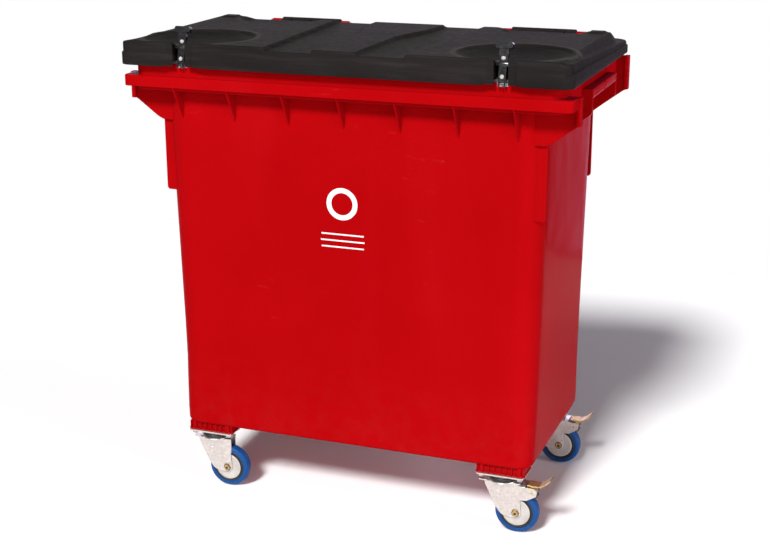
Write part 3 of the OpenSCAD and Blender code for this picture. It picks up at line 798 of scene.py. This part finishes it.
def latch_parts(c):
    side = rounded([(-4.5, -5), (4.5, -5), (4.5, 80), (5.5, 92), (-5.5, 92), (-6.5, 77), (-4.5, 70)],
                   [3, 3, 0, 2, 2, 3, 2])
    parts = [prism(side, 0, c - 10, c - 5.6), prism(side, 0, c + 5.6, c + 10)]
    mid = rounded([(-4.1, 8), (4.1, 8), (4.1, 92), (-5.1, 92), (-5.9, 77), (-4.1, 70)], [3, 3, 0, 2, 2, 2])
    parts.append(prism(mid, 0, c - 5.7, c + 5.7))
    neck = rounded([(c - 10, 72), (c + 10, 72), (c + 13, 78), (c + 11.5, 89),
                    (c + 14, 97), (c - 14, 97), (c - 11.5, 89), (c - 13, 78)], 3)
    parts.append(prism(neck, 1, -6.3, 5.5))
    bar = rounded([(c - 22, 92), (c + 22, 92), (c + 23, 104), (c + 19, 108), (c - 19, 108), (c - 23, 104)],
                  [5, 5, 5, 3, 3, 5])
    parts.append(prism(bar, 1, -8.6, 8.6))
    parts.append(rod(7, (0, 0, 53), 0, c - 18.2, c + 18.2, 1.2))
    for z in (36, 44):
        parts.append(prism(rounded([(c - 8, z), (c + 8, z), (c + 8, z + 3), (c - 8, z + 3)], 1.2), 1, -5.6, -3))
    return leaning(join(parts))


for s, label in ((-1, "left"), (1, "right")):
    place(f"latch_strap_{label}", *latch_parts(LATCH_X * s), f"latch_{label}", "latch", bevel=1.6, segs=4,
          stands=(f"latch_{label}",))

# ---- Mark --------------------------------------------------------------------


def printed_mark():
    """A plain white ring over three plain bars, printed on the front."""
    cx, cz = -9.0, 912.0
    verts, faces, n = [], [], 96

    def add(x, z):
        verts.append((x, -half_y(z) - 0.25, z))

    for k in range(n):
        t = 2 * math.pi * k / n
        for r in (31.0, 45.0):
            add(cx + r * math.cos(t), cz + r * math.sin(t))
    for k in range(n):
        m = (k + 1) % n
        faces.append((2 * k, 2 * k + 1, 2 * m + 1, 2 * m))
    for z, w in ((826, 62), (808, 64), (790, 62)):
        base = len(verts)
        for x, dz in ((-w, -2), (w, -2), (w, 2), (-w, 2)):
            add(cx + x, z + dz)
        faces.append((base, base + 1, base + 2, base + 3))
    return verts, faces


place("plain_print", *printed_mark(), "tub", "white_plastic", mat=PRINT_WHITE)

# ---- Castors -------------------------------------------------------------------


def nut_shadow():
    """Black pieces as painted shade in the socket of the bolt's head and along the lip of its washer."""
    parts = []
    for y, out in ((-29.0, -1), (29.0, 1)):
        deep, proud = y - 0.6 * out, y + 0.12 * out
        parts.append(lathe([(0.01, deep), (4.3, deep), (4.3, proud), (0.01, proud)], AXLE, 1, 6))
        parts.append(lathe([(9.3, 23.2 * out), (11.2, 23.2 * out), (11.0, 24.4 * out), (9.3, 24.4 * out)], AXLE, 1, 40))
    return join(parts)


def at_castor(part, cx, cy):
    verts, faces = part
    return [(x + cx, y + cy, z) for x, y, z in verts], faces


def fork_shape():
    main = rounded([(-48, 152), (-46, 139), (-13, 70), (4, 51), (30, 47.6), (32.5, 47.6), (32.5, 152)],
                   [0, 8, 14, 10, 0, 0, 0], 6)
    strip = rounded([(31.5, 47.6), (43, 47.5), (57, 56), (58, 68), (54, 100), (54, 152), (31.5, 152)],
                    [0, 8, 10, 14, 30, 0, 0], 6)
    parts = []
    for s in (-1, 1):
        y0, y1 = sorted((19.5 * s, 22.5 * s))
        parts.append(prism(main, 1, y0, y1))
        verts, faces = prism(strip, 1, y0, y1)
        folded = []
        for x, y, z in verts:
            folded.append((x, y - s * 0.30 * max(0.0, x - 32) * smooth((z - 98) / 14), z))
        parts.append((folded, faces))
        washer = [(5.3, 22.6 * s), (11.5, 22.6 * s), (12.5, 23.2 * s), (11.0, 23.8 * s), (5.3, 23.8 * s)]
        parts.append(lathe(washer, AXLE, 1, 48))
    crown = [(6.2, 149), (36, 149), (39.5, 150.2), (40, 152), (39, 154), (35, 155.4), (33.4, 158), (30, 159.5),
             (6.2, 159.5)]
    parts.append(lathe(crown, (0, 0, 0), 2, 72))
    parts.append(prism(rounded([(-48, -22.5), (54, -22.5), (54, 22.5), (-48, 22.5)], 6), 2, 149, 152))
    tab = rounded([(-70, -7), (-47, -10), (-44, 10), (-70, 7)], [3, 4, 0, 3])
    parts.append(prism(tab, 2, 141, 145))
    parts.append(block(-50, -46, -7, 7, 141, 151))
    for z in (118, 104):
        for s in (-1, 1):
            rivet = [(0.01, 22.4 * s), (4.4, 22.4 * s), (4.0, 23.1 * s), (0.01, 23.3 * s)]
            parts.append(lathe(rivet, (-8, 0, z), 1, 24))
    return join(parts)


def plate_shape():
    parts = []
    slab = rounded([(-68, -44), (68, -44), (68, 44), (-68, 44)], 9, 6)
    parts.append(prism(slab, 2, 174, 178))
    cup = [(6, 165.8), (30, 165.8), (36, 166.6), (37.5, 169), (40, 172.5), (44, 174.4), (6, 174.4)]
    king_bolt = [(0.01, 140), (8.6, 140), (9.5, 141), (9.5, 146), (6, 146), (6, 168), (0.01, 168)]
    parts += [lathe(cup, (0, 0, 0), 2, 72), lathe(king_bolt, (0, 0, 0), 2, 6)]
    return join(parts)


def race_shape():
    ring = [(22, 160), (33.4, 160), (34.2, 156.4), (37.5, 156.2), (39.4, 158.5), (39.4, 162.5), (37.6, 165.4),
            (22, 165.9)]
    return lathe(ring, (0, 0, 0), 2, 72)


def rim_shape():
    half = [(12, 16.4), (16.5, 16.4), (18, 15.4), (19, 8), (24, 5.5), (38, 5.5), (40.5, 8), (41, 14), (42.5, 15.2),
            (46.8, 15.2), (48, 14.4)]
    profile = half + [(r, -y) for r, y in reversed(half)]
    return lathe(profile, AXLE, 1, 96)


def tyre_shape():
    half = [(48, 14.6), (48.6, 15.6), (52, 16.0), (56.5, 15.6), (59.6, 13.6), (61.4, 10.5), (62.2, 6), (62.5, 1.2),
            (62.2, 0.5)]
    profile = half + [(r, -y) for r, y in reversed(half)]
    return lathe(profile, AXLE, 1, 112)


def guard_shape():
    parts = []
    for s in (-1, 1):
        profile = [(9.8, 16.5), (9.8, 18.0), (11.5, 18.3), (15.5, 18.3), (17, 17.6), (29, 17.3), (34, 18.0),
                   (37.5, 17.5), (39.8, 16.0), (39.4, 15.4), (36, 15.6)]
        parts.append(lathe([(r, y * s) for r, y in profile], AXLE, 1, 72))
    return join(parts)


# what a piece is called, its shape, the part of the castor it rides on ("" is the tub) and its bevel
CASTOR_PIECES = (("fork", fork_shape, "swivel", 0.8), ("plate", plate_shape, "", 0.7), ("race", race_shape, "", 0),
                 ("rim", rim_shape, "wheel", 0), ("tyre", tyre_shape, "wheel", 0), ("guards", guard_shape, "wheel", 0))

for s_x, s_y, corner in ((-1, -1, "front_left"), (1, -1, "front_right"), (-1, 1, "rear_left"), (1, 1, "rear_right")):
    centre = (CASTOR_X * s_x, CASTOR_Y * s_y)
    for label, shape, body, bevel in CASTOR_PIECES:
        node = f"{corner}_{label}"
        place(f"{corner}_{label}_look", *at_castor(shape(), *centre), f"{corner}_{body}" if body else "tub",
              SLOT_OF[node], bevel=bevel, stands=(node,), angle=35)
    # black pieces that paint the shade in the bolt heads and along the washer lips
    place(f"{corner}_nut_shadow", *at_castor(nut_shadow(), *centre), f"{corner}_swivel", "black_plastic")

# ---- Carried-over nodes --------------------------------------------------------

ROUNDED = ("bolts", "bracket", "pedal", "axle", "keepers", "plug", "shoe", "pins")

for name, obj in nodes.items():
    if obj.hide_render:
        continue
    obj.data.materials.clear()
    obj.data.materials.append(MAT[SLOT_OF[name]])
    if any(w in name for w in ROUNDED):
        round_edges(obj, 0.6, 2, 35)

# ---- Stage, light and camera -----------------------------------------------------


def stage():
    """Floor that ends behind the bin, and two cards beyond it that only reflections see."""
    def card(name, x0, x1, z0, z1):
        return name, ((x0, 2.5, z0), (x1, 2.5, z0), (x1, 2.5, z1), (x0, 2.5, z1))

    floor = ("floor", ((-9, -9, 0), (9, -9, 0), (9, 2.4, 0), (-9, 2.4, 0)))
    low, high = card("low_card", -2.6, 1.03, 0.0, 1.6), card("high_card", -2.6, 1.6, 1.75, 3.4)
    for (name, corners), tone, tint, glow in ((floor, 0.92, (1, 1, 1, 1), 0.0), (low, 0.3, (0.78, 0.60, 1.0, 1), 1.9),
                                              (high, 0.3, (1.0, 0.92, 0.86, 1), 0.20)):
        mesh = bpy.data.meshes.new(name)
        mesh.from_pydata(corners, [], [(0, 1, 2, 3)])
        obj = bpy.data.objects.new(name, mesh)
        scene.collection.objects.link(obj)
        m = Nodes(f"{name}_white")
        m.surface(Base_Color=m.mix(m.noise(2.0), (tone, tone, tone), (tone + 0.02, tone + 0.02, tone + 0.02)),
                  Roughness=0.75, Specular_IOR_Level=0.15, Emission_Color=tint, Emission_Strength=glow)
        mesh.materials.append(m.mat)
        obj.visible_camera = obj.visible_diffuse = obj.visible_shadow = name == "floor"


def sun(name, towards, strength, spread_angle, colour=(1, 1, 1)):
    light = bpy.data.lights.new(name, "SUN")
    light.energy = strength
    light.angle = math.radians(spread_angle)
    light.color = colour
    obj = bpy.data.objects.new(name, light)
    scene.collection.objects.link(obj)
    obj.rotation_mode = "QUATERNION"
    obj.rotation_quaternion = Vector(towards).to_track_quat("Z", "Y")


stage()
world = bpy.data.worlds.new("studio")
world.use_nodes = True
wt = world.node_tree
seen = wt.nodes.new("ShaderNodeLightPath").outputs["Is Camera Ray"]
level = wt.nodes.new("ShaderNodeMapRange")
level.inputs["To Min"].default_value = 0.07
level.inputs["To Max"].default_value = 1.0
wt.links.new(seen, level.inputs["Value"])
wt.links.new(level.outputs["Result"], wt.nodes["Background"].inputs["Strength"])
wt.nodes["Background"].inputs["Color"].default_value = (1, 1, 1, 1)
scene.world = world
sun("key", (-0.09, -1.0, 0.93), 4.35, 12)
sun("front_fill", (0.25, -1.0, 0.12), 0.95, 45)
sun("right_fill", (1.0, -0.22, 0.08), 2.7, 45, (1.0, 0.90, 1.0))

yaw, pitch, roll = (math.radians(a) for a in (20.5975, -16.9740, -0.2296))
ahead = Vector((-math.sin(yaw) * math.cos(pitch), math.cos(yaw) * math.cos(pitch), math.sin(pitch)))
right0 = Vector((math.cos(yaw), math.sin(yaw), 0))
up0 = right0.cross(ahead)
right = right0 * math.cos(roll) + up0 * math.sin(roll)
up = up0 * math.cos(roll) - right0 * math.sin(roll)
data = bpy.data.cameras.new("camera")
data.sensor_width = 36.0
data.lens = 68.178
camera = bpy.data.objects.new("camera", data)
scene.collection.objects.link(camera)
turn = Matrix((right, up, -ahead)).transposed().to_4x4()
camera.matrix_world = Matrix.Translation((1.4413, -3.8339, 1.8911)) @ turn
scene.camera = camera
scene.view_settings.view_transform = "Standard"
